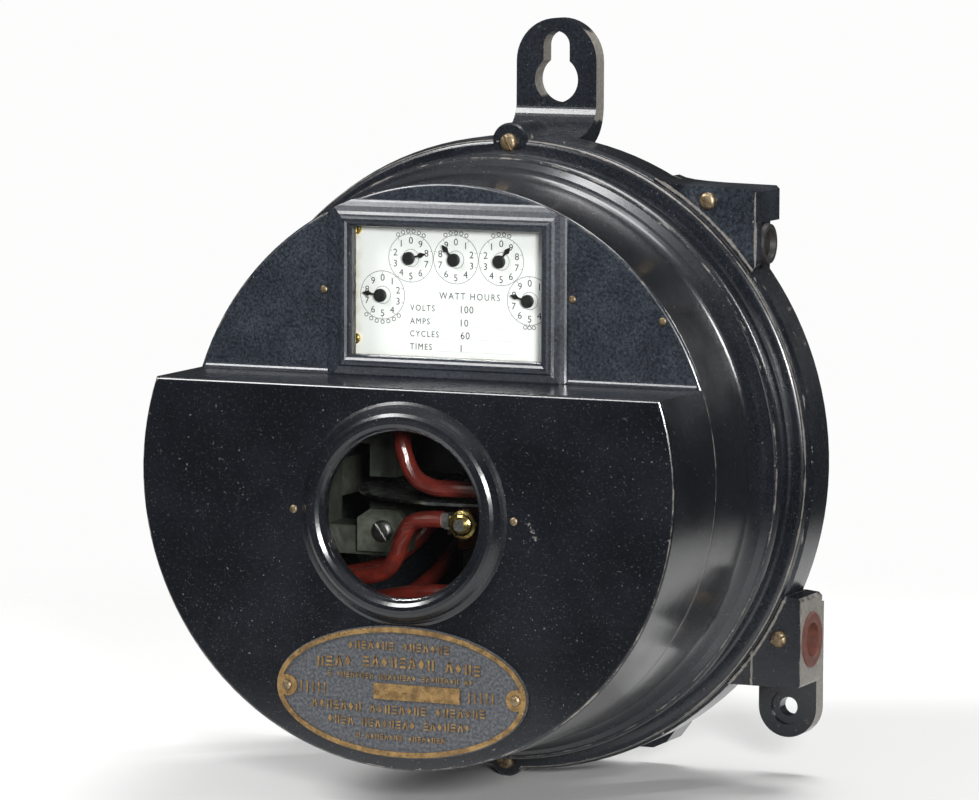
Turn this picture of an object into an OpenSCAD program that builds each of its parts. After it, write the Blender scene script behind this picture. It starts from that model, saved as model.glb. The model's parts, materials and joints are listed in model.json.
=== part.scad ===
// Round wall-hung watt-hour meter with a stepped drum cover, five register dials and a disc window.
// The origin is on the drum's axis in the wall plane: +X is the viewer's right, -Y points off the wall.
// Heights called h are distances off the wall.

/* [Cover] */
// Distance from the wall to the lower front face
depth = 167; // [160:1:175]
// Radius of the front rim
rim_r = 117.5; // [115:0.5:118]
// How far the upper face stands behind the lower one
ledge_depth = 43.6; // [40:0.2:46]
// Height of the ledge above the drum's axis
ledge_z = 38.2; // [36:0.2:39]
// Wall thickness of the cover
shell_t = 3; // [2.6:0.1:3.2]
// Height of the upper screw ear's centre
upper_ear_z = 131.5; // [130:0.5:133]
// Height of the lower screw ear's centre
lower_ear_z = -129.5; // [-131:0.5:-128.5]

/* [Windows] */
// Radius of the round disc window's opening
disc_window_r = 34.2; // [32:0.2:36]
// Height of the disc window's centre
disc_window_z = -13; // [-15:0.5:-11]
// Half width of the register window's opening
register_half_w = 42.3; // [41:0.1:43]
// Half height of the register window's opening
register_half_h = 26.4; // [25:0.1:27]
// Height of the register window's centre
register_z = 73; // [72:0.2:73.6]

/* [Base] */
// Radius of the base's front flange
flange_r = 134; // [133.5:0.5:135]
// Outer radius of the pan behind the flange
pan_r = 118; // [117:0.5:119]
// Height of the centre of the keyhole's large hole
keyhole_z = 155.6; // [154:0.2:157]
// Radius of the keyhole's large hole
keyhole_r = 9.9; // [9:0.1:10.8]
// Half width of the keyhole's slot
slot_r = 6; // [5:0.1:7]
// Sideways distance of the two lower lug holes from the axis
lug_x = 107.4; // [106:0.2:109]
// Depth of the two lower lug holes below the axis
lug_z = -107.2; // [-109:0.2:-105]

/* [Register] */
// Spacing of neighbouring dial arbors
dial_pitch = 20.2; // [20.2:0.1:20.4]
// Height of the three upper dials
dial_z = 86.3; // [86:0.1:86.6]
// Teeth on each wheel
wheel_teeth = 80; // [80]
// Teeth on each pinion
pinion_teeth = 8; // [8]

/* [Movement] */
// Radius of the aluminium disc
disc_r = 56; // [50:1:56]
// Height of the disc's middle plane
disc_z = -12.8; // [-13:0.1:-12.6]
// Thickness of the disc
disc_t = 1.2; // [1:0.1:1.4]
// Distance of the spindle off the wall
spindle_h = 75; // [74:0.5:76]
// Radius of an insulated lead
lead_r = 3.5; // [3:0.1:3.6]

/* [Hidden] */
fine = 128;
round_fn = 48;
small_fn = 24;

// Cover and flange levels
upper_h = depth - ledge_depth;
flange_front_h = 53.4;
flange_back_h = 32;
gasket_t = 1;
cover_back_h = flange_front_h + gasket_t;
pan_inner_r = pan_r - 5;
pan_floor = 5;
glass_t = 2;
rebate = 1;
lug_t = 8.5;
lug_half_w = 18.4;
// Height and radius of each screw ear
ear_at = [[upper_ear_z, 8], [lower_ear_z, 7]];

// Register levels
dial_h = 114.6;
dial_t = 1;
plate_t = 1.5;
front_plate_h = dial_h - dial_t - plate_t;
plate_gap = 15;
back_plate_h = front_plate_h - plate_gap - plate_t;
arbor_r = 0.8;
running = 0.05;
pointer_h = 117.4;
dial_drop = [12.7, sqrt(dial_pitch * dial_pitch - 12.7 * 12.7)];
// Dial centres from the fastest, at the right, to the slowest, at the left
dials = [
    [dial_pitch + dial_drop[0], dial_z - dial_drop[1]],
    [dial_pitch, dial_z],
    [0, dial_z],
    [-dial_pitch, dial_z],
    [-dial_pitch - dial_drop[0], dial_z - dial_drop[1]]];
// Resting angle of each pointer
pointer_angle = [163, 50, 130, 15, 172];
// The train's tooth size follows from the dial spacing
tooth_m = 2 * dial_pitch / (wheel_teeth + pinion_teeth);
wheel_pitch_r = tooth_m * wheel_teeth / 2;
pinion_pitch_r = tooth_m * pinion_teeth / 2;
plane_step = 2.6;
register_pillar_at = [[45, 52.2], [44.5, 97.6]];

// Worm and worm wheel
worm_wheel_teeth = 60;
worm_m = 0.45;
worm_pitch = PI * worm_m;
worm_wheel_r = worm_m * worm_wheel_teeth / 2;
worm_core_r = 3.45;
worm_throw = 0.4;
worm_len = 10;
worm_gap_x = 17.3;
worm_axis = [worm_gap_x,
    dials[0][1] - sqrt(dial_pitch * dial_pitch - pow(dials[0][0] - worm_gap_x, 2))];

// ---------- helpers ----------

function arc(cx, cy, r, a0, a1, n) =
    [for (i = [0:n]) let (a = a0 + (a1 - a0) * i / n) [cx + r * cos(a), cy + r * sin(a)]];

function angle_to(p, q) = atan2(q[1] - p[1], q[0] - p[0]);

// A flat outline in X and Z, h0 off the wall and t thick
module slab(h0, t) {
    translate([0, -h0, 0])
        rotate([90, 0, 0])
            linear_extrude(height = t)
                children();
}

// A round bar along Y from h0 to h1 off the wall
module bar(at, r, h0, h1, fn = round_fn) {
    translate([at[0], -h0, at[1]])
        rotate([90, 0, 0])
            cylinder(r = r, h = h1 - h0, $fn = fn);
}

// A turned solid about an axis along Y; the profile is in radius and height off the wall
module turned(at, profile, fn = fine) {
    translate([at[0], 0, at[1]])
        rotate([90, 0, 0])
            rotate_extrude($fn = fn)
                polygon(profile);
}

// A box from its low corner to its high corner, with y given off the wall
module block(x0, x1, h0, h1, z0, z1) {
    translate([x0, -h1, z0])
        cube([x1 - x0, h1 - h0, z1 - z0]);
}

module both_sides() {
    children();
    mirror([1, 0, 0])
        children();
}

// A slotted screw head that stands on the level h0 and faces the viewer
module slotted_head(at, r, h0, t, slot_angle) {
    difference() {
        turned(at, [[0, h0], [r, h0], [r, h0 + t * 0.45], [r * 0.96, h0 + t * 0.64],
            [r * 0.85, h0 + t * 0.8], [r * 0.65, h0 + t * 0.92], [r * 0.35, h0 + t * 0.98],
            [0, h0 + t]], round_fn);
        translate([at[0], -(h0 + t), at[1]])
            rotate([0, slot_angle, 0])
                cube([3 * r, t * 0.9, r * 0.26], center = true);
    }
}

// ---------- gears ----------

function gear_points(n, root, tip, half_root, half_tip, phase) =
    [for (i = [0:n - 1]) let (a = phase + i * 360 / n)
        for (q = [[-half_root, root], [-half_tip, tip], [half_tip, tip], [half_root, root]])
            let (b = a + q[0] / q[1] * 180 / PI) [q[1] * cos(b), q[1] * sin(b)]];

module wheel_outline(phase) {
    polygon(gear_points(wheel_teeth, wheel_pitch_r - 0.6, wheel_pitch_r + 0.42, 0.34, 0.15, phase));
}

module pinion_outline(phase) {
    polygon(gear_points(pinion_teeth, pinion_pitch_r - 0.68, pinion_pitch_r + 0.5, 0.2, 0.15, phase));
}

// ---------- leads ----------

// Points along a smooth curve through every given point
function spline_point(a, b, c, d, t) =
    0.5 * (2 * b + (c - a) * t + (2 * a - 5 * b + 4 * c - d) * t * t
        + (3 * b - a - 3 * c + d) * t * t * t);
function at_index(p, i) = p[max(0, min(len(p) - 1, i))];
function smooth(p, steps) = concat(
    [for (i = [0:len(p) - 2], k = [0:steps - 1])
        spline_point(at_index(p, i - 1), p[i], p[i + 1], at_index(p, i + 2), k / steps)],
    [p[len(p) - 1]]);
function unit(v) = v / norm(v);

// A round tube swept along a route; each ring is square to the route
module lead(route, r, sides = 14) {
    path = smooth(route, 4);
    n = len(path);
    dirs = [for (i = [0:n - 1]) unit(at_index(path, i + 1) - at_index(path, i - 1))];
    rings = [for (i = [0:n - 1])
        let (d = dirs[i], u = unit(cross(d, [0.3, 0.5, 0.81])), v = cross(d, u))
            for (k = [0:sides - 1]) path[i] + r * (cos(k * 360 / sides) * u + sin(k * 360 / sides) * v)];
    walls = [for (i = [0:n - 2], k = [0:sides - 1])
        let (a = i * sides + k, b = i * sides + (k + 1) % sides) [a, b, b + sides, a + sides]];
    caps = [[for (k = [sides - 1:-1:0]) k], [for (k = [0:sides - 1]) (n - 1) * sides + k]];
    polyhedron(rings, concat(walls, caps), convexity = 8);
}

upper_route = [[-12, -56.4, 26], [-12, -60, 26], [-12.5, -66, 26.5], [-17, -85, 27.5],
    [-18, -112, 27], [-16, -128, 22], [-14.8, -134, 12], [-12.5, -134.5, 4], [-8, -134.5, -2.5],
    [0, -134.5, -5.6], [10, -134.5, -5.6], [24, -134.5, -5.6], [44, -130, -6], [66, -116, -8],
    [84, -97, -16], [91, -78, -34], [88, -64, -50], [82, -55, -54], [82, -50, -54], [82, -44.6, -54]];
lower_route = [[-25.4, -45, -26], [-29, -45, -26], [-33, -45, -26.4], [-39, -46, -30],
    [-46, -52, -40], [-55, -66, -49], [-64, -87, -51], [-62, -109, -50],
    [-46, -127, -46.5], [-32, -133, -44], [-22, -134.5, -41], [-17, -134.5, -34], [-14.6, -134.5, -27],
    [-11, -134.5, -21], [-4, -134.5, -18.8], [3.6, -134.5, -18.5]];
cross_route = [[-25.4, -27, -37], [-29, -27, -37], [-33, -27, -37.5], [-38, -29, -46],
    [-45, -39, -58], [-54, -58, -67], [-59, -82, -67], [-54, -105, -62], [-28, -122, -54],
    [-6, -128, -50], [12, -130, -49.5], [30, -128, -52], [52, -114, -66], [70, -86, -70],
    [80, -64, -67], [82, -55, -63], [82, -50, -63], [82, -44.6, -63]];

// ---------- base ----------

module keyhole_outline() {
    difference() {
        union() {
            translate([0, keyhole_z + 7.8])
                circle(r = lug_half_w, $fn = fine);
            translate([-lug_half_w, 143])
                square([2 * lug_half_w, keyhole_z + 7.8 - 143]);
        }
        translate([0, keyhole_z])
            circle(r = keyhole_r, $fn = fine);
        translate([-slot_r, keyhole_z])
            square([2 * slot_r, 14.6]);
        translate([0, keyhole_z + 14.6])
            circle(r = slot_r, $fn = round_fn);
    }
}

// Arm that sweeps forward from the keyhole lug to the back of the flange
arm_front = [[-lug_t, 145.4], [-8.8, 143.2], [-10.4, 140], [-13.6, 136.8], [-19, 134.2], [-27, 132.2],
    [-36, 131]];
arm_back = [[-36, 124], [-24, 125.2], [-14, 127.6], [-7, 131], [-2.6, 135.5], [-0.5, 140.5],
    [0, 145.4]];

module keyhole_arm() {
    translate([-lug_half_w, 0, 0])
        rotate([90, 0, 90])
            linear_extrude(height = 2 * lug_half_w)
                polygon(concat(smooth(arm_front, 3), smooth(arm_back, 3)));
}

module lower_lug_outline() {
    translate([lug_x, lug_z])
        circle(r = 12.9, $fn = fine);
    translate([lug_x - 12.9, lug_z])
        square([25.8, 45]);
}

module upper_block() {
    slab(25, flange_front_h - 25)
        polygon([[60, 80], [60, 112], [63, 118], [66, 116.9], [70, 116.2], [76, 115.7], [84, 115.3],
            [106.4, 114.8], [107.8, 113.4], [107.8, 100.6], [upper_bush[0], 100], [upper_bush[0], 80]]);
    // lip in front of the bushing
    slab(flange_front_h - 4.8, 4.8)
        polygon([[90, 80], [90, 101], [108.8, 101], [108.8, 84], [106, 80]]);
}

module lower_block() {
    slab(lower_block_h, flange_front_h - lower_block_h)
        polygon([[100, -53.6], [123, -53.6], [128.3, -54.2], [129.7, -55.6], [129.7, -90.2],
            [128.3, -91.6], [80, -91.6]]);
}

module base_solids() {
    // pan and flange
    turned([0, 0], [[0, 0], [pan_r - 3, 0], [pan_r, 3], [pan_r, flange_back_h - 4],
        [pan_r + 4, flange_back_h], [flange_r - 1.5, flange_back_h], [flange_r, flange_back_h + 1.5],
        [flange_r, flange_front_h - 1.5], [flange_r - 1.5, flange_front_h], [0, flange_front_h]]);
    // locating ring inside the cover
    turned([0, 0], [[pan_inner_r, flange_front_h - 1], [120.6, flange_front_h - 1],
        [120.6, flange_front_h + 3.2], [pan_inner_r, flange_front_h + 3.2]]);
    // bosses behind the cover's ears
    for (e = ear_at)
        bar([0, e[0]], e[1], flange_back_h + 3, flange_front_h);
    slab(0, lug_t)
        keyhole_outline();
    keyhole_arm();
    upper_block();
    lower_block();
    both_sides() {
        slab(0, lug_t)
            lower_lug_outline();
        // small foot under the pan's rim
        slab(0, 17)
            polygon([[39, -100], [39, -126], [40.3, -127.3], [50, -127.3], [56, -124.5], [60.9, -118],
                [62, -100]]);
    }
}

// Each bushing: side face in X, height in Z, outer and inner radius, level off the wall,
// how far its collar stands out and how much wider the collar is
upper_bush = [103.8, 91.4, 8.5, 5.6, 39.4, 5.5, 0.3];
lower_bush = [129.7, -72.6, 11.2, 7.2, 41, 0.9, 0.4];
lower_block_h = 28.4;
upper_screw_at = [87, 109.4];
lower_screw_at = [120, -71.2];
bush_len = 24;

module base_casting() {
    color("#15171c")
        difference() {
            base_solids();
            turned([0, 0], [[0, pan_floor], [pan_inner_r - 4, pan_floor], [pan_inner_r, pan_floor + 4],
                [pan_inner_r, flange_front_h + 9], [0, flange_front_h + 9]]);
            both_sides() {
                bar([lug_x, lug_z], 4, -1, lug_t + 1);
                bar([lug_x, lug_z], 7.5, lug_t - 1.5, lug_t + 1);
            }
            for (b = [upper_bush, lower_bush])
                translate([0, -b[4], b[1]])
                    rotate([0, 90, 0]) {
                        translate([0, 0, 50])
                            cylinder(r = b[2], h = 100, $fn = round_fn);
                        translate([0, 0, b[0]])
                            cylinder(r = b[2] + b[6] + 0.3, h = 50, $fn = round_fn);
                    }
            bar(upper_screw_at, 2, 43, 60, small_fn);
            bar(lower_screw_at, 2, 50, 60, small_fn);
            for (e = ear_at)
                bar([0, e[0]], 2.6, flange_back_h + 3.5, flange_front_h + 5, small_fn);
        }
}

// Lined hole through a corner block: collar outside, sleeve inside
module bushing(b) {
    translate([b[0] - bush_len, -b[4], b[1]])
        rotate([0, 90, 0])
            rotate_extrude($fn = round_fn)
                polygon([[b[3], 0], [b[2], 0], [b[2], bush_len], [b[2] + b[6], bush_len],
                    [b[2] + b[6], bush_len + b[5] * 0.6], [b[2] + b[6] - 0.6, bush_len + b[5]],
                    [b[3] + 0.8, bush_len + b[5]], [b[3], bush_len + b[5] * 0.6]]);
}

module upper_bushings() {
    color("#1a1a1c")
        bushing(upper_bush);
}

module lower_bushings() {
    color("#6b2a1e")
        bushing(lower_bush);
}

module screw(at, head_r, head_t, shank_r, h_seat, h_tip, slot_angle) {
    slotted_head(at, head_r, h_seat, head_t, slot_angle);
    bar(at, shank_r, h_tip, h_seat, small_fn);
}

module block_screws() {
    color("#9c7a45") {
        screw(upper_screw_at, 3.6, 2.6, 2, flange_front_h, 43, 35);
        screw(lower_screw_at, 3.6, 2.6, 2, flange_front_h, lower_bush[4] + lower_bush[2], -25);
    }
}

module cover_gasket() {
    color("#2a2522")
        turned([0, 0], [[121.2, flange_front_h], [126.2, flange_front_h], [126.2, cover_back_h],
            [121.2, cover_back_h]]);
}

// ---------- movement ----------

module movement_frame() {
    color("#3b3d3c") {
        difference() {
            union() {
                block(-32, 32, pan_floor, 11, -66, 74);
                block(-9, 9, 11, 82, -66, -58);
                block(-5.5, 5.5, 11, 82, 67, 74);
                // lugs that carry the two cores
                for (s = [-1, 1]) {
                    bar([s * 27, 38], 4, 11, 30);
                    bar([s * 20, -47], 4, 11, 30);
                }
            }
            translate([0, -spindle_h, -70])
                cylinder(r = 4, h = 20, $fn = round_fn);
            translate([0, -spindle_h, 60])
                cylinder(r = 3.5, h = 20, $fn = round_fn);
        }
    }
}

frame_screw_at = [[26, -54], [-26, -54], [26, 60], [-26, 60]];

module frame_screws() {
    color("#8d8c85")
        for (p = frame_screw_at)
            slotted_head(p, 5, 11, 3, p[0] * 2);
}

module bearing_screw() {
    color("#b9934e")
        translate([0, -spindle_h, 0]) {
            translate([0, 0, -69])
                cylinder(r = 4, h = 17, $fn = round_fn);
            translate([0, 0, -73])
                cylinder(r = 6.5, h = 4, $fn = round_fn);
        }
}

module jewel_cup() {
    color("#8c2f3c")
        translate([0, -spindle_h, -52])
            rotate_extrude($fn = round_fn)
                polygon([[0, 0], [3, 0], [3, 4], [1.6, 4], [1.6, 2], [0, 2]]);
}

module upper_bearing() {
    color("#b9934e")
        translate([0, -spindle_h, 66])
            rotate_extrude($fn = round_fn)
                polygon([[1.06, 0], [3.5, 0], [3.5, 8], [5, 8], [5, 11], [0, 11], [0, 7], [1.06, 7]]);
}

module magnet_outline() {
    polygon([[41, -42], [84, -42], [86, -40], [86, 15], [84, 17], [41, 17], [40, 16], [40, -8.8],
        [52, -8.8], [52, 5], [74, 5], [74, -30], [52, -30], [52, -16.8], [40, -16.8], [40, -41]]);
}

module brake_magnets() {
    color("#4a4d50")
        both_sides()
            slab(65, 20)
                magnet_outline();
}

module magnet_brackets() {
    color("#3b3d3c")
        both_sides()
            block(76, 90, pan_floor, 65, -21, -5);
}

module magnet_clamps() {
    color("#7d8078")
        both_sides()
            slab(85, 4)
                polygon([[34, -40], [56, -40], [56, -26], [50, -22], [38, -22], [34, -26]]);
}

module clamp_screws() {
    color("#9a9c94")
        both_sides()
            slotted_head([44, -31], 4.6, 89, 3, -55);
}

module voltage_core() {
    color("#5b5e5c")
        slab(30, 16)
            polygon([[-32, 44], [-32, 0], [-24, -7], [-20, -7], [-20, 0], [-25, 5], [-25, 34],
                [-7, 34], [-7, -8], [7, -8], [7, 34], [25, 34], [25, 5], [20, 0], [20, -7], [24, -7],
                [32, 0], [32, 44]]);
}

module voltage_coil() {
    color("#2c231c")
        difference() {
            block(-18, 18, 20, 56, 1, 33);
            block(-7, 7, 30, 46, 0, 34);
        }
}

module current_core() {
    color("#5b5e5c")
        slab(30, 16)
            polygon([[-26, -54], [26, -54], [26, -44], [19, -44], [19, -17.5], [8, -17.5], [8, -44],
                [-8, -44], [-8, -17.5], [-19, -17.5], [-19, -44], [-26, -44]]);
}

module current_coils() {
    color("#7a4a2a")
        both_sides()
            difference() {
                block(1.5, 25, 22, 54, -42, -20);
                block(8, 19, 30, 46, -43, -19);
            }
}

module terminal_bracket() {
    color("#5f625e") {
        block(58, 66, 122, 127, -60, -16);
        block(58, 66, pan_floor, 122, -60, -54);
    }
}

module terminal_board() {
    color("#1d1b1a")
        difference() {
            block(4, 66, 127, 131, -25, -16);
            bar([13, -20], 2.4, 120, 140, small_fn);
            bar([44, -20.5], 2.4, 120, 140, small_fn);
        }
}

module binding_posts() {
    color("#8f9296")
        for (p = [[13, -20], [44, -20.5]])
            difference() {
                bar(p, 2.4, 127, 140.5, small_fn);
                translate([p[0], -140.5, p[1]])
                    rotate([0, -60, 0])
                        cube([8, 1.6, 0.8], center = true);
            }
}

module terminal_nuts() {
    color("#c9a24a")
        for (p = [[13, -20], [44, -20.5]])
            turned(p, [[2.4, 134], [6.2, 134], [6.2, 136.2], [5.8, 136.8], [4.6, 137.2], [4.2, 138.2],
                [3.4, 138.6], [2.4, 138.6]], round_fn);
}

module lead_tag() {
    color("#a8a69c") {
        difference() {
            union() {
                bar([13, -20], 5, 132.6, 134, round_fn);
                block(3.6, 13, 132.6, 134, -22.5, -17);
            }
            bar([13, -20], 2.4, 130, 140, small_fn);
        }
        block(3.6, 6.6, 134, 136.6, -21.5, -15.6);
    }
}

module line_blocks() {
    color("#1d1b1a")
        block(73, 88, pan_floor, 30, -68, -46);
}

module line_posts() {
    color("#b9934e")
        for (z = [-63, -54])
            bar([82, z], 3.6, 30, 44, round_fn);
}

module upper_lead() {
    color("#7a1f1b")
        lead(upper_route, lead_r);
}

module lower_lead() {
    color("#7a1f1b")
        lead(lower_route, lead_r);
}

module cross_lead() {
    color("#7a1f1b")
        lead(cross_route, lead_r);
}

// ---------- register ----------

module register_posts() {
    color("#8a7a52")
        both_sides()
            for (p = register_pillar_at)
                bar(p, 2.5, pan_floor, back_plate_h, round_fn);
}

module plate_outline() {
    polygon([[-49, 47], [49, 47], [49, 95], [46, 101.5], [-46, 101.5], [-49, 95]]);
}

module drilled_plate(h0, hole_r) {
    difference() {
        slab(h0, plate_t)
            plate_outline();
        for (p = concat(dials, [worm_axis]))
            bar(p, hole_r, h0 - 1, h0 + plate_t + 1, small_fn);
    }
}

module register_back_plate() {
    color("#b08d4a")
        drilled_plate(back_plate_h, arbor_r + running);
}

module register_front_plate() {
    color("#b08d4a")
        drilled_plate(front_plate_h, arbor_r + running);
}

module register_pillars() {
    color("#b08d4a")
        both_sides()
            for (p = register_pillar_at)
                bar(p, 2.2, back_plate_h + plate_t, front_plate_h, round_fn);
}

// Rear bearing for the worm wheel's arbor
module worm_cock() {
    color("#b08d4a")
        difference() {
            union() {
                block(11, 24, 68.5, 70.5, 38, 64);
                block(11, 24, 70.5, back_plate_h, 38, 40);
                block(11, 24, back_plate_h - 2, back_plate_h, 40, 51);
            }
            bar(worm_axis, arbor_r + running, 60, 72, small_fn);
            bar(worm_axis, 2.4, back_plate_h - 4, back_plate_h + 1, small_fn);
        }
}

module register_dial() {
    color("#eeece2")
        difference() {
            slab(dial_h - dial_t, dial_t)
                polygon([[-47.5, 44.5], [47.5, 44.5], [47.5, 96], [45, 101.5], [-45, 101.5], [-47.5, 96]]);
            for (p = dials)
                bar(p, 1.4, dial_h - 3, dial_h + 1, small_fn);
        }
}

module dial_screws() {
    color("#c9a24a")
        both_sides()
            for (p = register_pillar_at)
                slotted_head(p, 2.3, dial_h, 1.5, p[1]);
}

// ---------- cover ----------

function shell_profile(t) = concat([[0, upper_h - t]],
    arc(118.4 - t - 1.6, upper_h - t - 1.6, 1.6, 90, 5, 5),
    [for (i = [0:7]) let (a = 180 + i * 7) [130.6 - t + 11.6 * cos(a), 88 + 11.6 * sin(a)]]);

module shell_outer() {
    turned([0, 0], concat(shell_profile(0), arc(122.6, 71, 4.6, 58, -44, 16),
        [[125.1, 65.6], [125, 60.6], [125.5, 59.3], [126.6, 59]],
        arc(flange_r - 3.6, 56.4, 2.6, 90, 0, 8),
        [[flange_r - 1, cover_back_h], [0, cover_back_h]]));
}

module shell_inner() {
    turned([0, 0], concat(shell_profile(shell_t),
        [[121.4, 75], [121.4, cover_back_h - 1], [0, cover_back_h - 1]]));
}

// The lower drum in front of the ledge, shrunk by t for its hollow
module nose(t) {
    intersection() {
        turned([0, 0], concat([[0, depth - t]], arc(rim_r - t - 1.4, depth - t - 1.4, 1.4, 90, 2, 5),
            [[118.4 - t, upper_h - 6], [0, upper_h - 6]]));
        translate([-150, 0, 0])
            rotate([90, 0, 90])
                linear_extrude(height = 300)
                    polygon(concat([[-upper_h + 10, -150], [-depth - 10, -150], [-depth + t, -140]],
                        arc(-depth + t + 1.4, ledge_z - t - 1.4, 1.4, 180, 90, 5),
                        [[-upper_h + 10, ledge_z - t]]));
    }
}

// Fillet where the ledge meets the upper face
module ledge_fillet() {
    chord = sqrt(pow(118, 2) - pow(ledge_z + 3, 2)) - 1;
    translate([-chord, 0, 0])
        rotate([90, 0, 90])
            linear_extrude(height = 2 * chord)
                polygon(concat([[-upper_h + 1, ledge_z - 1], [-upper_h - 2.5, ledge_z - 1]],
                    arc(-upper_h - 2.5, ledge_z + 2.5, 2.5, -90, 0, 5), [[-upper_h + 1, ledge_z + 2.5]]));
}

ring_profile = [[0, -2], [0, 1.4], [0.5, 2.7], [1.5, 3.9], [2.9, 4.7], [4.4, 5], [5.9, 4.7], [7.2, 3.9],
    [8.3, 2.7], [9.3, 1.5], [10.4, 0.6], [11.6, 0.15], [12.4, -1]];
frame_profile = [[0, -2], [0, 1.2], [0.4, 2.4], [1.2, 3.4], [2.2, 3.9], [3.2, 4], [4.2, 3.7], [5, 3],
    [6.2, 2.5], [8.4, 1.9], [10.2, 1.3], [11, 0.9], [11.3, 0.3], [11.3, -1]];

// One straight side of the register frame, mitred at both ends; a is its half length
module frame_side(a, b) {
    intersection() {
        translate([-a - 20, 0, 0])
            rotate([90, 0, 90])
                linear_extrude(height = 2 * a + 40)
                    polygon([for (q = frame_profile) [-upper_h - q[1], b + q[0]]]);
        slab(upper_h - 6, 20)
            polygon([[-a, b], [a, b], [a + 14, b + 14], [-a - 14, b + 14]]);
    }
}

module register_moulding() {
    w = register_half_w;
    h = register_half_h;
    intersection() {
        translate([0, 0, register_z])
            for (k = [0:3])
                rotate([0, k * 90, 0])
                    frame_side(k % 2 == 0 ? w : h, k % 2 == 0 ? h : w);
        bar([0, 0], 118.2, 90, depth, fine);
    }
}

module register_opening(extra, h0, h1) {
    w = register_half_w + extra;
    h = register_half_h + extra;
    block(-w, w, h0, h1, register_z - h, register_z + h);
}

module cover_shell() {
    color("#15171c")
        difference() {
            union() {
                shell_outer();
                nose(0);
                ledge_fillet();
                register_moulding();
                turned([0, disc_window_z],
                    [for (q = ring_profile) [disc_window_r + q[0], depth + q[1]]]);
                for (e = ear_at)
                    turned([0, e[0]], [[0, cover_back_h], [e[1] + 0.2, cover_back_h],
                        [e[1] + 0.2, 58], [e[1] - 0.6, 59], [0, 59]], round_fn);
            }
            shell_inner();
            nose(shell_t);
            turned([0, 0], [[0, 50], [121.4, 50], [121.4, 62], [0, 62]]);
            // disc window: opening and the glass's seat
            bar([0, disc_window_z], disc_window_r, depth - 10, depth + 9, fine);
            bar([0, disc_window_z], disc_window_r + 4.3, depth - 10, depth - shell_t + rebate, fine);
            // register window: opening and the glass's seat
            register_opening(0, upper_h - 8, upper_h + 9);
            register_opening(3.3, upper_h - 8, upper_h - shell_t + rebate);
            for (e = ear_at)
                bar([0, e[0]], 2.7, 50, 60, small_fn);
        }
}

module register_glass() {
    color([0.8, 0.9, 0.9, 0.35])
        register_opening(3.2, upper_h - shell_t + rebate - glass_t, upper_h - shell_t + rebate);
}

module register_glass_frame() {
    h1 = upper_h - shell_t + rebate - glass_t;
    color("#b08d4a")
        difference() {
            register_opening(5.2, h1 - 0.8, h1);
            register_opening(0.8, h1 - 2, h1 + 1);
        }
}

module disc_window_glass() {
    color([0.8, 0.9, 0.9, 0.35])
        bar([0, disc_window_z], disc_window_r + 4.2, depth - shell_t + rebate - glass_t,
            depth - shell_t + rebate, fine);
}

module disc_window_ring() {
    h1 = depth - shell_t + rebate - glass_t;
    color("#b08d4a")
        turned([0, disc_window_z], [[disc_window_r + 1.2, h1 - 1.6], [disc_window_r + 5, h1 - 1.6],
            [disc_window_r + 5, h1], [disc_window_r + 1.2, h1]]);
}

pin_at = [[48.6, -13.2, 0], [-48.6, -13.2, 0], [55.4, 72.7, 1], [-55.4, 72.7, 1], [94.8, 65.3, 1]];

module window_pins() {
    color("#a5834a")
        for (p = pin_at)
            let (h = p[2] == 0 ? depth : upper_h)
                turned([p[0], p[1]], [[0, h], [1.7, h], [1.6, h + 0.5], [1.1, h + 0.9], [0, h + 1]],
                    small_fn);
}

// ---------- nameplate and cover screws ----------

plate_centre = [0, -85.3];
plate_half = [55.6, 27];
function oval(a, b, n) = [for (i = [0:n - 1]) [a * cos(i * 360 / n), b * sin(i * 360 / n)]];

module oval_slab(inset, h0, t) {
    slab(h0, t)
        translate(plate_centre)
            polygon(oval(plate_half[0] - inset, plate_half[1] - inset, 96));
}

module nameplate() {
    color("#8d7440") {
        difference() {
            union() {
                oval_slab(0, depth, 1);
                oval_slab(0.5, depth + 1, 0.9);
            }
            oval_slab(2.6, depth + 1, 4);
        }
        for (s = [-1, 1])
            bar([s * 50.6, plate_centre[1]], 4.4, depth + 1, depth + 1.9, round_fn);
        // blank raised panel in place of lettering
        block(-12, 26, depth + 1, depth + 1.8, -88.5, -82);
    }
}

module nameplate_rivets() {
    color("#b9934e")
        for (s = [-1, 1])
            turned([s * 50.6, plate_centre[1]], [[0, depth + 1.9], [2.2, depth + 1.9],
                [1.9, depth + 2.6], [1.1, depth + 3], [0, depth + 3.1]], small_fn);
}

module cover_screws() {
    color("#9c7a45")
        for (e = ear_at)
            screw([0, e[0]], 3.8, 3, 2.5, 59, flange_back_h + 6, sign(e[0]) * 60);
}

// ---------- moving pieces ----------

module disc() {
    color("#d4d6d8")
        translate([0, -spindle_h, disc_z])
            difference() {
                translate([0, 0, -disc_t / 2])
                    cylinder(r = disc_r, h = disc_t, $fn = fine);
                cylinder(r = 1.5, h = 10, center = true, $fn = small_fn);
            }
}

module spindle() {
    color("#a9abad")
        translate([0, -spindle_h, 0])
            rotate_extrude($fn = round_fn)
                polygon([[0, -49.6], [0.8, -48.4], [0.8, -46], [1.5, -45], [1.5, disc_z - 6],
                    [4, disc_z - 5], [4, disc_z - disc_t / 2], [1.5, disc_z - disc_t / 2],
                    [1.5, disc_z + disc_t / 2], [5, disc_z + disc_t / 2], [5, disc_z + 3],
                    [1.5, disc_z + 4], [1.5, 64.5], [1, 65.2], [1, 72], [0, 72]]);
}

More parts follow.
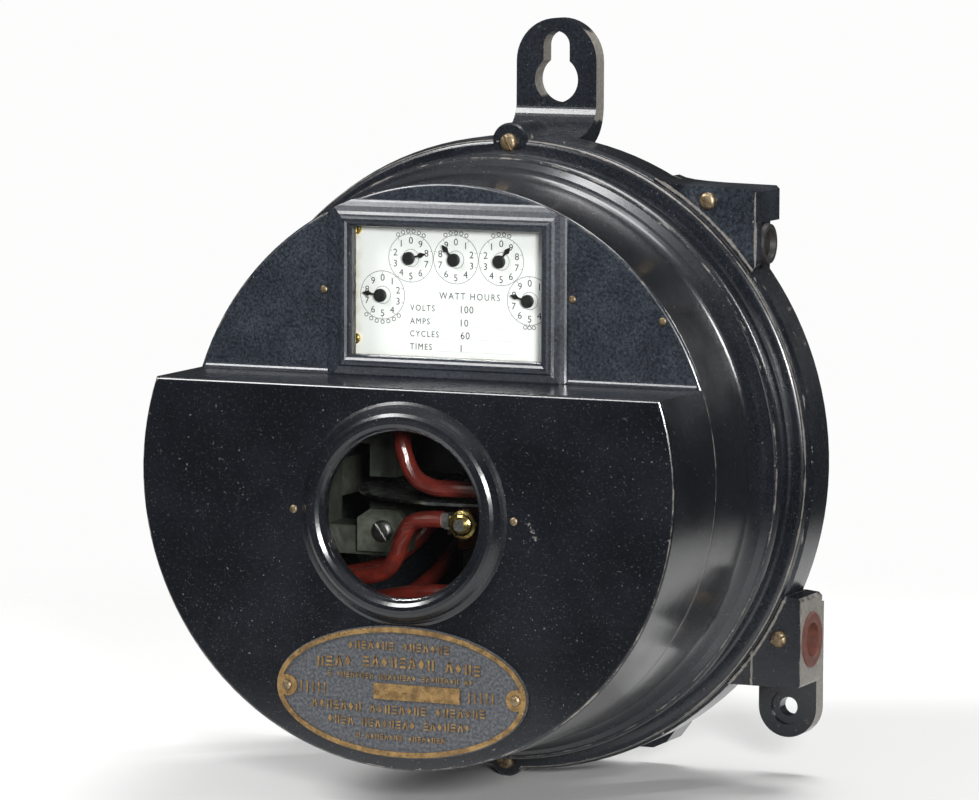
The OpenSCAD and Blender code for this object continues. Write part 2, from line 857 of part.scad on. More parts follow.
module worm() {
    z0 = worm_axis[1] - worm_len / 2;
    turns = worm_len / worm_pitch;
    color("#b9934e")
        translate([0, -spindle_h, z0])
            difference() {
                rotate([0, 0, 180 - turns * 180])
                    linear_extrude(height = worm_len, twist = -360 * turns, slices = 14 * ceil(turns))
                        translate([worm_throw, 0])
                            circle(r = worm_core_r, $fn = 16);
                translate([0, 0, -1])
                    cylinder(r = 1.5, h = worm_len + 2, $fn = small_fn);
            }
}

module worm_arbor() {
    color("#b9934e") {
        bar(worm_axis, arbor_r, 68.7, front_plate_h + plate_t, small_fn);
        slab(spindle_h - 0.7, 1.4)
            translate(worm_axis)
                polygon(gear_points(worm_wheel_teeth, worm_wheel_r - 0.35, worm_wheel_r + 0.6,
                    0.34, 0.12, 0));
        slab(train_h(1) - 1, 2)
            translate(worm_axis)
                pinion_outline(angle_to(worm_axis, dials[0]));
    }
}

// Distance off the wall of the middle of each gear plane, from the first at the back
function train_h(k) = back_plate_h + plate_t + 2 + (k - 1) * plane_step;

// Arbor k carries the wheel in plane k and the pinion that drives plane k + 1
module train_arbor(k) {
    here = dials[k - 1];
    before = k == 1 ? worm_axis : dials[k - 2];
    color("#b9934e") {
        bar(here, arbor_r, back_plate_h - 0.6, pointer_h - 0.8, small_fn);
        slab(train_h(k) - 0.4, 0.8)
            translate(here)
                wheel_outline(angle_to(here, before) + 180 / wheel_teeth);
        if (k < 5)
            slab(train_h(k + 1) - 1, 2)
                translate(here)
                    pinion_outline(angle_to(here, dials[k]));
    }
}

module pointer(k) {
    color("#101010")
        translate([dials[k - 1][0], 0, dials[k - 1][1]])
            rotate([0, -pointer_angle[k - 1], 0]) {
                turned([0, 0], [[0, pointer_h - 0.8], [2.7, pointer_h - 0.8], [2.7, pointer_h + 0.1],
                    [2.2, pointer_h + 0.5], [0, pointer_h + 0.6]], round_fn);
                slab(pointer_h - 0.5, 0.6)
                    polygon([[1, -0.45], [4, -0.35], [4.5, -0.5], [5.6, -1.15], [6.4, -0.8], [7.8, -0.12],
                        [7.8, 0.12], [6.4, 0.8], [5.6, 1.15], [4.5, 0.5], [4, 0.35], [1, 0.45]]);
            }
}

module wheel_arbor_1() train_arbor(1);
module wheel_arbor_2() train_arbor(2);
module wheel_arbor_3() train_arbor(3);
module wheel_arbor_4() train_arbor(4);
module wheel_arbor_5() train_arbor(5);
module pointer_1() pointer(1);
module pointer_2() pointer(2);
module pointer_3() pointer(3);
module pointer_4() pointer(4);
module pointer_5() pointer(5);

base_casting();
upper_bushings();
lower_bushings();
block_screws();
cover_gasket();
movement_frame();
frame_screws();
bearing_screw();
jewel_cup();
upper_bearing();
brake_magnets();
magnet_brackets();
magnet_clamps();
clamp_screws();
voltage_core();
voltage_coil();
current_core();
current_coils();
terminal_bracket();
terminal_board();
binding_posts();
terminal_nuts();
lead_tag();
line_blocks();
line_posts();
upper_lead();
lower_lead();
cross_lead();
register_posts();
register_back_plate();
register_front_plate();
register_pillars();
worm_cock();
register_dial();
dial_screws();
cover_shell();
register_glass();
register_glass_frame();
disc_window_glass();
disc_window_ring();
window_pins();
nameplate();
nameplate_rivets();
cover_screws();
disc();
spindle();
worm();
worm_arbor();
wheel_arbor_1();
wheel_arbor_2();
wheel_arbor_3();
wheel_arbor_4();
wheel_arbor_5();
pointer_1();
pointer_2();
pointer_3();
pointer_4();
pointer_5();
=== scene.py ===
import json
import math
import bpy
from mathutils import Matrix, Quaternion, Vector


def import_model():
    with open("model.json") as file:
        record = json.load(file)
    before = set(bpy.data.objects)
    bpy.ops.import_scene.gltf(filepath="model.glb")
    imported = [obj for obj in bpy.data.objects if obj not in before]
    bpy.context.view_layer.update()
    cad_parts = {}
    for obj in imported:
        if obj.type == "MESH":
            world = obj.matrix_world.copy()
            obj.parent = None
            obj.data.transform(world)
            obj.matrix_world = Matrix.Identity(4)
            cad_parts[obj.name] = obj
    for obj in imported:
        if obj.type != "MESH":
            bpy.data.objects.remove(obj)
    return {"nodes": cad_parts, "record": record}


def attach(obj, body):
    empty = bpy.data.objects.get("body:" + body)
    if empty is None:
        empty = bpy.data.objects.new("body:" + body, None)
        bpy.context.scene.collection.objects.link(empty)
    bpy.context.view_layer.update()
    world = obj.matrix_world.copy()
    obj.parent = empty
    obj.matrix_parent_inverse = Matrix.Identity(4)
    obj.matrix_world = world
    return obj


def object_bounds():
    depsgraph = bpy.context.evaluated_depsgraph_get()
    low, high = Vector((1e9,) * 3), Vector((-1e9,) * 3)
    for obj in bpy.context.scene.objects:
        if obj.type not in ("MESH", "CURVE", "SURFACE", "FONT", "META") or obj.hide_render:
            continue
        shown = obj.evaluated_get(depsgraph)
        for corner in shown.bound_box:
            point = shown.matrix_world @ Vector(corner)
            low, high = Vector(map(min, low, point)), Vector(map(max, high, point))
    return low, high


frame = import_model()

cad_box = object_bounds()
nodes = frame["nodes"]
MM = 0.001


# ---------- node helpers ----------

class Graph:
    """One procedural material; positions are the row frame's, in metres."""

    def __init__(self, name):
        self.material = bpy.data.materials.new(name)
        self.material.use_nodes = True
        self.tree = self.material.node_tree
        self.shader = self.tree.nodes["Principled BSDF"]
        self.place = self.tree.nodes.new("ShaderNodeTexCoord").outputs["Object"]

    def node(self, kind, inputs=(), **settings):
        made = self.tree.nodes.new("ShaderNode" + kind)
        for key, value in settings.items():
            setattr(made, key, value)
        for key, value in dict(inputs).items():
            self.feed(made.inputs[key], value)
        return made

    def feed(self, socket, value):
        if isinstance(value, bpy.types.NodeSocket):
            self.tree.links.new(value, socket)
        else:
            socket.default_value = value

    def set(self, **values):
        for key, value in values.items():
            if isinstance(value, tuple) and len(value) == 3:
                value = (*value, 1.0)
            self.feed(self.shader.inputs[key.replace("_", " ")], value)
        return self

    def math(self, operation, a, b=0.0, clamp=False):
        return self.node("Math", {0: a, 1: b}, operation=operation, use_clamp=clamp).outputs[0]

    def mix(self, factor, a, b):
        """A colour between a and b."""
        a, b = [(*v, 1.0) if isinstance(v, tuple) else v for v in (a, b)]
        made = self.node("Mix", {0: factor, 6: a, 7: b}, data_type="RGBA")
        return made.outputs[2]

    def blend(self, factor, a, b):
        """A number between a and b."""
        return self.node("Mix", {0: factor, 2: a, 3: b}, data_type="FLOAT").outputs[0]

    def noise(self, size, detail=3.0, rough=0.55, stretch=(1, 1, 1), turn=(0, 0, 0)):
        """Noise from 0 to 1 with features of about size metres."""
        mapped = self.node("Mapping", {"Vector": self.place, "Rotation": turn, "Scale": stretch})
        return self.node("TexNoise", {"Vector": mapped.outputs[0], "Scale": 1 / size,
                                      "Detail": detail, "Roughness": rough}).outputs["Fac"]

    def step(self, value, low, high):
        """0 below low, 1 above high, smooth between."""
        made = self.node("MapRange", {"Value": value, "From Min": low, "From Max": high},
                         interpolation_type="SMOOTHSTEP")
        return made.outputs[0]

    def axes(self):
        return self.node("SeparateXYZ", {0: self.place}).outputs

    def span(self, a, b):
        """Length of the flat vector (a, b)."""
        return self.math("SQRT", self.math("ADD", self.math("MULTIPLY", a, a), self.math("MULTIPLY", b, b)))

    def near(self, a, a0, b, b0, reach):
        """1 on the line a = a0, b = b0, falling to 0 at reach."""
        d = self.span(self.math("SUBTRACT", a, a0), self.math("SUBTRACT", b, b0))
        return self.math("SUBTRACT", 1.0, self.math("DIVIDE", d, reach), clamp=True)

    def bump(self, height, distance, strength=1.0):
        made = self.node("Bump", {"Height": height, "Distance": distance, "Strength": strength})
        self.feed(self.shader.inputs["Normal"], made.outputs[0])
        return self

    def most(self, *values):
        result = values[0]
        for value in values[1:]:
            result = self.math("MAXIMUM", result, value)
        return result


# ---------- materials ----------

def japan(name, wear, dusty, pale=None):
    """Black japan over iron. wear(g) is 1 on the edges that rub, dusty(g) where the coat has dulled,
    pale(g) on faces that are drawn in the pale colour of bare iron."""
    g = Graph(name)
    broad = g.noise(0.045, 4)
    fine = g.noise(0.0024, 5, 0.65)
    edge = wear(g)
    dust = g.math("MULTIPLY", dusty(g), g.blend(g.step(g.noise(0.02, 5, 0.6), 0.3, 0.7), 0.55, 1.0))
    line = g.step(g.math("ADD", edge, g.math("MULTIPLY", g.noise(0.009, 5, 0.7), 0.75)), 1.13, 1.3)
    chips = g.step(g.math("ADD", g.math("MULTIPLY", edge, 0.18), g.noise(0.0032, 7, 0.72)), 0.75, 0.77)
    specks = g.most(g.step(g.noise(0.0013, 2, 0.5), 0.71, 0.76),
                    g.math("MULTIPLY", g.step(g.noise(0.0006, 2, 0.5), 0.66, 0.72), 0.4))
    scuff_a = g.noise(0.003, 3, 0.6, (1, 1, 14), (0.3, 0.9, 0.2))
    scuff_b = g.noise(0.0028, 3, 0.6, (16, 1, 1), (0.1, 0.5, -0.3))
    scuffs = g.most(g.step(scuff_a, 0.69, 0.74), g.step(scuff_b, 0.7, 0.75))
    coat = g.mix(g.step(broad, 0.35, 0.7), (0.0036, 0.0041, 0.0056), (0.006, 0.007, 0.0098))
    haze = g.step(g.noise(0.0012, 4, 0.7), 0.35, 0.65)
    haze = g.mix(haze, (0.007, 0.009, 0.0125), (0.034, 0.042, 0.056))
    coat = g.mix(dust, coat, haze)
    coat = g.mix(g.math("MULTIPLY", scuffs, 0.1), coat, (0.09, 0.095, 0.1))
    coat = g.mix(g.math("MULTIPLY", specks, 0.6), coat, (0.15, 0.155, 0.155))
    bare = g.mix(g.noise(0.0015, 4), (0.06, 0.05, 0.042), (0.3, 0.28, 0.25))
    pale_mask = g.most(g.math("MULTIPLY", line, 0.8), chips)
    if pale:
        # faces marked by pale(g) take the pale bare-iron colour and a duller finish
        pale_faces = g.step(g.math("ADD", g.math("MULTIPLY", pale(g), 0.5), g.noise(0.006, 6, 0.65)), 0.6, 0.9)
        pale_mask = g.most(pale_mask, pale_faces)
    rough = g.blend(g.step(broad, 0.3, 0.75), 0.13, 0.22)
    rough = g.math("ADD", rough, g.math("MULTIPLY", fine, 0.1))
    dulled = g.most(pale_mask, g.math("MULTIPLY", scuffs, 0.5), g.math("MULTIPLY", dust, 0.35))
    rough = g.blend(dulled, rough, 0.7)
    g.set(Base_Color=g.mix(pale_mask, coat, bare), Roughness=rough, Coat_Weight=0.25, Coat_Roughness=0.12)
    height = g.math("ADD", g.math("MULTIPLY", fine, 0.13), g.math("MULTIPLY", g.noise(0.012, 3), 0.4))
    height = g.math("SUBTRACT", height, g.math("MULTIPLY", chips, 0.35))
    return g.bump(height, 0.0003, 0.7).material


def cover_wear(g):
    x, y, z = g.axes()
    r = g.span(x, z)
    low = g.math("SUBTRACT", 1.0, g.step(z, 0.037, 0.041))
    front, upper, ledge = -0.167, -0.1234, 0.0382
    rim = g.math("MULTIPLY", g.near(r, 0.1171, y, front, 0.0022), low)
    ledge_edge = g.near(y, front, z, ledge, 0.0022)
    upper_rim = g.near(r, 0.118, y, upper, 0.0022)
    ring = g.span(x, g.math("ADD", z, 0.013))
    ring_in = g.math("MULTIPLY", g.near(ring, 0.0347, y, -0.1695, 0.002), 0.8)
    bead = g.near(r, 0.1262, y, -0.0745, 0.0025)
    flange = g.near(r, 0.1325, y, -0.058, 0.0022)
    frame_x = g.math("SUBTRACT", g.math("ABSOLUTE", x), 0.0423)
    frame_z = g.math("SUBTRACT", g.math("ABSOLUTE", g.math("SUBTRACT", z, 0.073)), 0.0264)
    frame_out = g.math("MAXIMUM", frame_x, frame_z)
    frame_edge = g.math("MULTIPLY", g.near(frame_out, 0.0008, y, -0.1258, 0.002), 0.8)
    patch = g.math("MULTIPLY", scratch(g, x, y, z), 0.88)
    return g.most(rim, ledge_edge, upper_rim, ring_in, bead, flange, frame_edge, patch)


def cover_dust(g):
    x, y, z = g.axes()
    face = g.math("SUBTRACT", 1.0, g.step(y, -0.1232, -0.1222))
    above = g.math("MULTIPLY", g.step(z, 0.0375, 0.0395), face)
    return g.most(above, g.math("MULTIPLY", g.step(y, -0.09, -0.078), 0.3), 0.06)


def scratch(g, x, y, z):
    """A scuffed patch on the front, beside the round window."""
    across = g.math("ADD", g.math("MULTIPLY", g.math("SUBTRACT", x, 0.0562), 0.863),
                    g.math("MULTIPLY", g.math("ADD", z, 0.0162), 0.506))
    along = g.math("SUBTRACT", g.math("MULTIPLY", g.math("SUBTRACT", x, 0.0562), 0.506),
                   g.math("MULTIPLY", g.math("ADD", z, 0.0162), 0.863))
    near = g.math("MULTIPLY", g.math("SUBTRACT", 1.0, g.step(g.math("ABSOLUTE", across), 0.0, 0.0042)),
                  g.math("SUBTRACT", 1.0, g.step(g.math("ABSOLUTE", along), 0.003, 0.0115)))
    ragged = g.step(g.noise(0.0011, 4, 0.7), 0.38, 0.62)
    near = g.math("MULTIPLY", near, g.blend(ragged, 0.45, 1.1))
    return g.math("MULTIPLY", near, g.math("SUBTRACT", 1.0, g.step(y, -0.1668, -0.166)))


def base_wear(g):
    x, y, z = g.axes()
    r = g.span(x, z)
    flange = g.near(r, 0.134, y, -0.0534, 0.003)
    flange_back = g.near(r, 0.134, y, -0.032, 0.0025)
    block_x = g.near(x, 0.1297, y, -0.0534, 0.003)
    block_top = g.near(x, 0.1078, y, -0.0534, 0.003)
    return g.most(flange, flange_back, block_x, block_top)


def base_dust(g):
    x, y, z = g.axes()
    blocks = g.math("MULTIPLY", g.step(x, 0.07, 0.08), g.step(z, 0.08, 0.09))
    tab = g.step(z, 0.126, 0.134)
    return g.most(g.math("MULTIPLY", blocks, 0.95), g.math("MULTIPLY", tab, 0.4), 0.25)


def base_pale(g):
    """Side faces at the right of the lower block, the lower lug and the top tab, drawn pale where they face
    +X.
    """
    x, y, z = g.axes()
    below = g.math("SUBTRACT", 1.0, g.step(z, -0.0545, -0.0525))
    low = g.math("MULTIPLY", g.step(x, 0.117, 0.1185), below)
    tab = g.step(z, 0.136, 0.142)
    # only faces that face +X are made pale
    facing = g.node("SeparateXYZ", {0: g.node("NewGeometry").outputs["Normal"]}).outputs
    return g.math("MULTIPLY", g.most(low, tab), g.step(facing["X"], 0.5, 0.9))


def brass(name, light, dark, rough=0.36, grime=0.5, size=0.004):
    """Brass that has darkened unevenly."""
    g = Graph(name)
    stain = g.noise(size, 6, 0.65)
    mask = g.step(stain, 0.62 - 0.3 * grime, 0.78 - 0.2 * grime)
    g.set(Base_Color=g.mix(mask, light, dark), Metallic=1.0,
          Roughness=g.blend(mask, rough, min(0.8, rough + 0.25)))
    return g.bump(g.math("ADD", stain, g.noise(size / 6, 3)), 0.00008, 0.6).material


def metal(name, colour, rough, size=0.003, stretch=(1, 1, 1), depth=0.00005):
    g = Graph(name)
    grain = g.noise(size, 5, 0.6, stretch)
    dim = tuple(0.55 * c for c in colour)
    g.set(Base_Color=g.mix(g.step(grain, 0.3, 0.7), dim, colour), Metallic=1.0,
          Roughness=g.blend(grain, rough * 0.75, min(1.0, rough * 1.4)))
    return g.bump(grain, depth).material


def matt(name, colour, rough, size=0.003, depth=0.00008, spread=0.45):
    """A solid dull surface, such as fibre, tape, felt or paint."""
    g = Graph(name)
    grain = g.noise(size, 6, 0.62)
    dim = tuple((1 - spread) * c for c in colour)
    g.set(Base_Color=g.mix(g.step(grain, 0.3, 0.7), dim, colour),
          Roughness=g.blend(grain, rough * 0.85, min(1.0, rough * 1.15)))
    return g.bump(grain, depth).material


def insulation(name):
    """Varnished red cambric over a lead."""
    g = Graph(name)
    stain = g.noise(0.006, 5, 0.6)
    g.set(Base_Color=g.mix(g.step(stain, 0.3, 0.75), (0.165, 0.02, 0.013), (0.07, 0.009, 0.007)),
          Roughness=g.blend(stain, 0.18, 0.42), Coat_Weight=0.4, Coat_Roughness=0.12)
    return g.bump(g.math("ADD", g.noise(0.0008, 3), stain), 0.0001).material


def enamel(name):
    """White dial enamel, slightly foxed near its edges."""
    g = Graph(name)
    x, y, z = g.axes()
    far = g.most(g.step(g.math("ABSOLUTE", x), 0.040, 0.0475),
                 g.step(g.math("ABSOLUTE", g.math("SUBTRACT", z, 0.073)), 0.025, 0.0285))
    stain = g.math("MULTIPLY", far, g.step(g.noise(0.006, 5), 0.35, 0.75))
    g.set(Base_Color=g.mix(stain, (0.93, 0.93, 0.915), (0.66, 0.59, 0.45)),
          Roughness=g.blend(stain, 0.35, 0.55))
    return g.bump(g.noise(0.01, 3), 0.00004).material


def plate_metal(name):
    """Etched nameplate: worn brass where it stands proud, grey-blue ground where it is sunk."""
    g = Graph(name)
    x, y, z = g.axes()
    proud = g.math("SUBTRACT", 1.0, g.step(y, -0.16836, -0.16822))
    stain = g.noise(0.004, 6, 0.65)
    worn = g.mix(g.step(stain, 0.35, 0.65), (0.33, 0.21, 0.085), (0.16, 0.1, 0.045))
    worn = g.mix(g.step(g.noise(0.0011, 4, 0.7), 0.55, 0.68), worn, (0.06, 0.045, 0.03))
    ground = g.mix(g.step(g.noise(0.0012, 4), 0.35, 0.7), (0.03, 0.034, 0.042), (0.085, 0.088, 0.092))
    g.set(Base_Color=g.mix(proud, ground, worn), Metallic=g.blend(proud, 0.2, 0.75),
          Roughness=g.blend(g.math("MULTIPLY", proud, stain), 0.6, 0.42))
    return g.bump(g.math("ADD", stain, g.noise(0.0006, 3)), 0.00012).material


def pane(name):
    """Thin clear window glass that mirrors a little."""
    g = Graph(name)
    g.set(Base_Color=(0.95, 0.97, 0.96), Roughness=0.05)
    clear = g.node("BsdfTransparent", {"Color": (0.975, 0.985, 0.98, 1)}).outputs[0]
    glint = g.math("MULTIPLY", g.node("Fresnel", {"IOR": 1.45}).outputs[0], 0.6)
    mirror = g.node("BsdfGlossy", {"Color": (1, 1, 1, 1), "Roughness": 0.06}).outputs[0]
    mixed = g.node("MixShader", {0: glint, 1: clear, 2: mirror})
    output = g.tree.nodes["Material Output"]
    g.tree.links.new(mixed.outputs[0], output.inputs["Surface"])
    return g.material


MATERIALS = {
    "japan_cover": japan("japan_cover", cover_wear, cover_dust),
    "japan_base": japan("japan_base", base_wear, base_dust, base_pale),
    "aged_brass": brass("aged_brass", (0.3, 0.235, 0.15), (0.1, 0.07, 0.045), 0.42, 0.65, 0.0025),
    "bright_brass": brass("bright_brass", (0.78, 0.6, 0.22), (0.42, 0.3, 0.1), 0.22, 0.3),
    "gear_brass": brass("gear_brass", (0.62, 0.46, 0.2), (0.3, 0.2, 0.08), 0.3, 0.4, 0.006),
    "red_fibre": matt("red_fibre", (0.13, 0.042, 0.028), 0.62, 0.004),
    "black_fibre": matt("black_fibre", (0.02, 0.018, 0.017), 0.55, 0.004),
    "gasket_felt": matt("gasket_felt", (0.03, 0.026, 0.022), 0.95, 0.001, 0.0002),
    "grey_iron": matt("grey_iron", (0.12, 0.125, 0.1), 0.42, 0.003),
    "steel": metal("steel", (0.52, 0.52, 0.5), 0.34, 0.002),
    "magnet_steel": matt("magnet_steel", (0.07, 0.075, 0.06), 0.38, 0.004),
    "laminations": metal("laminations", (0.3, 0.3, 0.29), 0.4, 0.002, (1, 9, 1), 0.0002),
    "coil_tape": matt("coil_tape", (0.05, 0.032, 0.02), 0.5, 0.003, 0.0003),
    "copper_coil": metal("copper_coil", (0.42, 0.18, 0.08), 0.36, 0.003, (1, 1, 8), 0.0003),
    "red_insulation": insulation("red_insulation"),
    "enamel_dial": enamel("enamel_dial"),
    "pointer_black": matt("pointer_black", (0.008, 0.008, 0.0085), 0.5, 0.002, 0.00003),
    "window_glass": pane("window_glass"),
    "nameplate_brass": plate_metal("nameplate_brass"),
    "disc_aluminium": metal("disc_aluminium", (0.8, 0.81, 0.83), 0.24, 0.004, (1, 1, 1), 0.000004),
    "print_ink": matt("print_ink", (0.012, 0.013, 0.015), 0.5, 0.0008, 0.00001, 0.6),
    "jewel": matt("jewel", (0.35, 0.02, 0.05), 0.12, 0.003),
}
NODE_MATERIAL = {"cover_shell": "japan_cover", "base_casting": "japan_base"}
GEAR_NODES = ("worm", "register_front_plate", "register_back_plate", "register_pillars", "register_posts")


def dress():
    """Gives every CAD node the material of its slot."""
    slot_of = {part["node"]: part["material_slot"] for part in frame["record"]["subparts"]}
    for name, thing in nodes.items():
        key = NODE_MATERIAL.get(name, slot_of[name])
        if name in GEAR_NODES or name.startswith(("wheel_arbor", "worm_")):
            key = "gear_brass"
        thing.data.materials.clear()
        thing.data.materials.append(MATERIALS[key])


dress()


# ---------- printing and relief ----------

class Sheet:
    """Shapes that face the viewer, gathered into one mesh; x and z in mm, h in mm off the wall."""

    def __init__(self):
        self.verts = []
        self.faces = []

    def add(self, outline, h, rise=0.0):
        first, count = len(self.verts), len(outline)
        self.verts += [(x * MM, -(h + rise) * MM, z * MM) for x, z in outline]
        self.faces.append(tuple(range(first, first + count)))
        if rise:
            self.verts += [(x * MM, -h * MM, z * MM) for x, z in outline]
            for i in range(count):
                j = (i + 1) % count
                self.faces.append((first + i, first + count + i, first + count + j, first + j))

    def stroke(self, a, b, width, h, rise=0.0):
        (x0, z0), (x1, z1) = a, b
        reach = math.hypot(x1 - x0, z1 - z0)
        u, v = -(z1 - z0) / reach * width / 2, (x1 - x0) / reach * width / 2
        self.add([(x0 - u, z0 - v), (x1 - u, z1 - v), (x1 + u, z1 + v), (x0 + u, z0 + v)], h, rise)

    def ring(self, centre, r, width, h, count=72):
        x, z = centre
        def at(i, radius):
            a = 2 * math.pi * i / count
            return x + radius * math.cos(a), z + radius * math.sin(a)
        for i in range(count):
            self.add([at(i, r - width / 2), at(i, r + width / 2), at(i + 1, r + width / 2),
                      at(i + 1, r - width / 2)], h)

    def letters(self, words, centre, cap, h, squeeze=1.0, left=False, spacing=1.0):
        """Plain printed characters with capitals cap mm high; left starts them at the centre."""
        verts, faces = glyphs(words, spacing)
        wide = max(v[0] for v in verts) + min(v[0] for v in verts)
        shift = min(v[0] for v in verts) if left else wide / 2
        first = len(self.verts)
        for x, z in verts:
            x, z = (x - shift) * cap * squeeze, (z - 0.5) * cap
            self.verts.append(((centre[0] + x) * MM, -h * MM, (centre[1] + z) * MM))
        self.faces += [tuple(first + i for i in face) for face in faces]

    def build(self, name, material, body):
        mesh = bpy.data.meshes.new(name)
        mesh.from_pydata(self.verts, [], self.faces)
        mesh.materials.append(MATERIALS[material])
        made = bpy.data.objects.new(name, mesh)
        bpy.context.scene.collection.objects.link(made)
        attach(made, body)
        return made


GLYPHS = {}
CAP = 0.729  # height of a capital in the built-in letters, as a share of their size


def glyphs(words, spacing):
    """Flat outline of some words, with capitals one unit high."""
    key = (words, spacing)
    if key not in GLYPHS:
        curve = bpy.data.curves.new("words", "FONT")
        curve.body = words
        curve.space_character = spacing
        curve.resolution_u = 3
        holder = bpy.data.objects.new("words", curve)
        bpy.context.scene.collection.objects.link(holder)
        bpy.context.view_layer.update()
        shape = holder.evaluated_get(bpy.context.evaluated_depsgraph_get())
        mesh = bpy.data.meshes.new_from_object(shape)
        GLYPHS[key] = ([(v.co.x / CAP, v.co.y / CAP) for v in mesh.vertices],
                       [tuple(p.vertices) for p in mesh.polygons])
        bpy.data.objects.remove(holder)
        bpy.data.curves.remove(curve)
        bpy.data.meshes.remove(mesh)
    return GLYPHS[key]


DIAL_H = 114.64  # the printing's height off the wall, just proud of the dial plate
ZERO_PITCH = (9.8, 12.5, 12.5, 12.5, 13.8)  # degrees between the zeros of each multiplier
DIALS = [(32.9, 70.592), (20.2, 86.3), (0, 86.3), (-20.2, 86.3), (-32.9, 70.592)]


def dial_printing():
    """Five numbered circles, their multipliers, the unit and the rating lines."""
    ink = Sheet()
    for k, centre in enumerate(DIALS):
        ink.ring(centre, 9.95, 0.19, DIAL_H)
        ink.ring(centre, 3.6, 0.16, DIAL_H, 48)
        way = -1 if k % 2 == 0 else 1
        for digit in range(10):
            angle = math.radians(90 + way * 36 * digit)
            c, s = math.cos(angle), math.sin(angle)
            ink.letters(str(digit), (centre[0] + 7.35 * c, centre[1] + 7.35 * s), 2.95, DIAL_H)
            ink.stroke((centre[0] + 8.95 * c, centre[1] + 8.95 * s),
                       (centre[0] + 9.9 * c, centre[1] + 9.9 * s), 0.14, DIAL_H)
        count = k + 3
        for i in range(count):
            offset = (i - (count - 1) / 2) * ZERO_PITCH[k]
            a = math.radians(270 + offset if k in (0, 4) else 90 - offset)
            zero = (centre[0] + 11.05 * math.cos(a), centre[1] + 11.05 * math.sin(a))
            ink.ring(zero, 0.76, 0.28, DIAL_H, 20)
    ink.letters("WATT HOURS", (6.2, 71.4), 2.9, DIAL_H, squeeze=0.87, spacing=1.3)
    for z, label, value in ((66.0, "VOLTS", "100"), (60.5, "AMPS", "10"), (55.3, "CYCLES", "60"),
                            (50.0, "TIMES", "1")):
        ink.letters(label, (-20.4, z), 2.6, DIAL_H, squeeze=0.87, left=True, spacing=1.3)
        ink.letters(value, (2.3, z), 3.0, DIAL_H, left=True, spacing=1.1)
        ink.stroke((-9, z - 1.7), (27, z - 1.7), 0.05, DIAL_H)
    ink.build("dial_printing", "print_ink", "base")


def plate_relief():
    """Rows of small raised ornament on the oval plate, in place of lettering."""
    relief = Sheet()
    ground, rise = 168.0, 0.5
    rows = [(-66.6, 24, 3.2, 7), (-73.2, 38, 4.3, 8), (-79.3, 33, 2.2, 0), (-92.6, 40, 3.4, -4),
            (-98.6, 33, 3.2, -6), (-104.0, 20, 2.2, -5)]
    for row, (z, half, tall, sag) in enumerate(rows):
        pitch = tall * 0.95
        count = int(2 * half / pitch)
        for i in range(count):
            if (i * 7 + row * 3) % 9 == 4:
                continue
            x = -half + (i + 0.5) * pitch
            lift = sag * (1 - math.sqrt(max(0.0, 1 - (x / 62) ** 2)))
            zc, w, t = z - lift, tall * 0.3, tall / 2
            kind = (i * 5 + row) % 4
            line = tall * 0.2
            if kind == 0:
                relief.add([(x - w, zc), (x, zc - t), (x + w, zc), (x, zc + t)], ground, rise)
            elif kind == 1:
                relief.stroke((x - w * 0.6, zc - t), (x - w * 0.6, zc + t), line, ground, rise)
                relief.stroke((x + w * 0.8, zc - t), (x + w * 0.8, zc + t), line, ground, rise)
            elif kind == 2:
                for dz in (-0.8, 0, 0.8):
                    relief.stroke((x - w, zc + dz * t), (x + w, zc + dz * t), line, ground, rise)
            else:
                relief.stroke((x - w, zc - t), (x, zc + t), line, ground, rise)
                relief.stroke((x, zc + t), (x + w, zc - t), line, ground, rise)
    for side in (-1, 1):
        for i in range(5):
            x = side * (30 + i * 2.6) - (4 if side < 0 else 0)
            relief.stroke((x, -87.6), (x, -83.2), 0.7, ground, rise)
    relief.build("nameplate_relief", "nameplate_brass", "cover")


dial_printing()
plate_relief()


# ---------- camera, light and floor ----------

CAMERA_ANGLES = (23.27, 6.0, 0.25)  # azimuth, elevation and roll, in degrees
CAMERA_TARGET = (0.0378, -0.167, 0.0352)
CAMERA_DISTANCE = 2.25
LENS, SENSOR = 207.1, 36


def camera():
    azimuth, elevation, roll = [math.radians(a) for a in CAMERA_ANGLES]
    back = Vector((math.sin(azimuth) * math.cos(elevation),
                   -math.cos(azimuth) * math.cos(elevation), math.sin(elevation)))
    data = bpy.data.cameras.new("camera")
    data.lens = LENS
    data.sensor_width = SENSOR
    data.clip_end = 50
    made = bpy.data.objects.new("camera", data)
    made.location = Vector(CAMERA_TARGET) + CAMERA_DISTANCE * back
    made.rotation_mode = "QUATERNION"
    made.rotation_quaternion = back.to_track_quat("Z", "Y") @ Quaternion((0, 0, 1), roll)
    bpy.context.scene.collection.objects.link(made)
    bpy.context.scene.camera = made


LAMP_AIM = (0, -0.1, 0)


def lamp(name, place, size, power):
    """A white rectangular lamp that faces the object; place and size in metres, power in watts."""
    data = bpy.data.lights.new(name, "AREA")
    data.shape = "RECTANGLE"
    data.size, data.size_y = size
    data.energy = power
    made = bpy.data.objects.new(name, data)
    made.location = place
    made.rotation_mode = "QUATERNION"
    made.rotation_quaternion = (Vector(place) - Vector(LAMP_AIM)).to_track_quat("Z", "Y")
    bpy.context.scene.collection.objects.link(made)


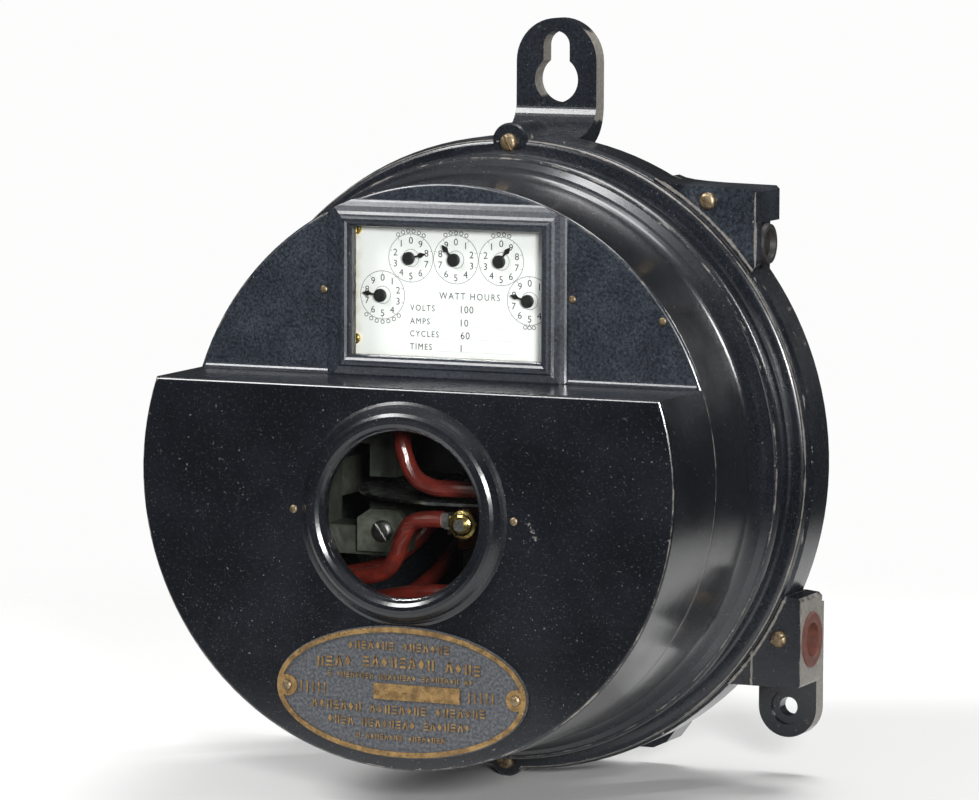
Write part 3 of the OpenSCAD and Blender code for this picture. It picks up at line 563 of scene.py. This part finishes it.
def floor():
    """A pale floor that fades into the backdrop away from the object."""
    low = cad_box[0][2]
    mesh = bpy.data.meshes.new("floor")
    mesh.from_pydata([(-3, -3, low), (3, -3, low), (3, 3, low), (-3, 3, low)], [], [(0, 1, 2, 3)])
    made = bpy.data.objects.new("floor", mesh)
    bpy.context.scene.collection.objects.link(made)
    g = Graph("floor")
    g.set(Base_Color=(0.78, 0.78, 0.775), Roughness=0.7)
    x, y, z = g.axes()
    away = g.step(g.span(g.math("ADD", x, 0.08), g.math("SUBTRACT", y, 0.05)), 0.26, 0.56)
    clear = g.node("BsdfTransparent").outputs[0]
    mixed = g.node("MixShader", {0: away, 1: g.shader.outputs[0], 2: clear})
    g.tree.links.new(mixed.outputs[0], g.tree.nodes["Material Output"].inputs["Surface"])
    mesh.materials.append(g.material)


def world():
    """Pale backdrop to the eye; for light and reflections a dim room with a bright top and table."""
    made = bpy.data.worlds.new("studio")
    made.use_nodes = True
    bpy.context.scene.world = made
    tree = made.node_tree
    link = tree.links.new

    def add(kind, inputs, **settings):
        node = tree.nodes.new("ShaderNode" + kind)
        for key, value in settings.items():
            setattr(node, key, value)
        for key, value in inputs.items():
            if isinstance(value, bpy.types.NodeSocket):
                link(value, node.inputs[key])
            else:
                node.inputs[key].default_value = value
        return node.outputs

    def ramp(value, low, high, start, end):
        return add("MapRange", {"Value": value, "From Min": low, "From Max": high, "To Min": start,
                                "To Max": end}, interpolation_type="SMOOTHSTEP")[0]

    direction = tree.nodes.new("ShaderNodeTexCoord").outputs["Generated"]
    x, y, z = add("SeparateXYZ", {0: direction})
    top = ramp(z, 0.45, 0.9, 0.0, 0.4)
    table = ramp(z, -0.25, -0.55, 0.0, 0.3)
    room = add("Math", {0: top, 1: table}, operation="ADD")[0]
    room = add("Math", {0: room, 1: 0.035}, operation="ADD")[0]
    seen = add("LightPath", {})["Is Camera Ray"]
    strength = add("Mix", {0: seen, 2: room, 3: 0.98})[0]
    back = tree.nodes["Background"]
    link(strength, back.inputs["Strength"])
    back.inputs["Color"].default_value = (1, 1, 0.997, 1)


camera()
bpy.context.scene.view_settings.view_transform = "Standard"
floor()
world()
lamp("key", (-1.3, -1.7, 1.7), (0.9, 0.9), 62)
lamp("front", (1.25, -2.1, 0.5), (0.4, 0.4), 66)
lamp("strip", (1.3, 1.5, 0.9), (0.12, 0.8), 12)
lamp("top", (0.3, 0.35, 1.9), (1.3, 0.6), 26)
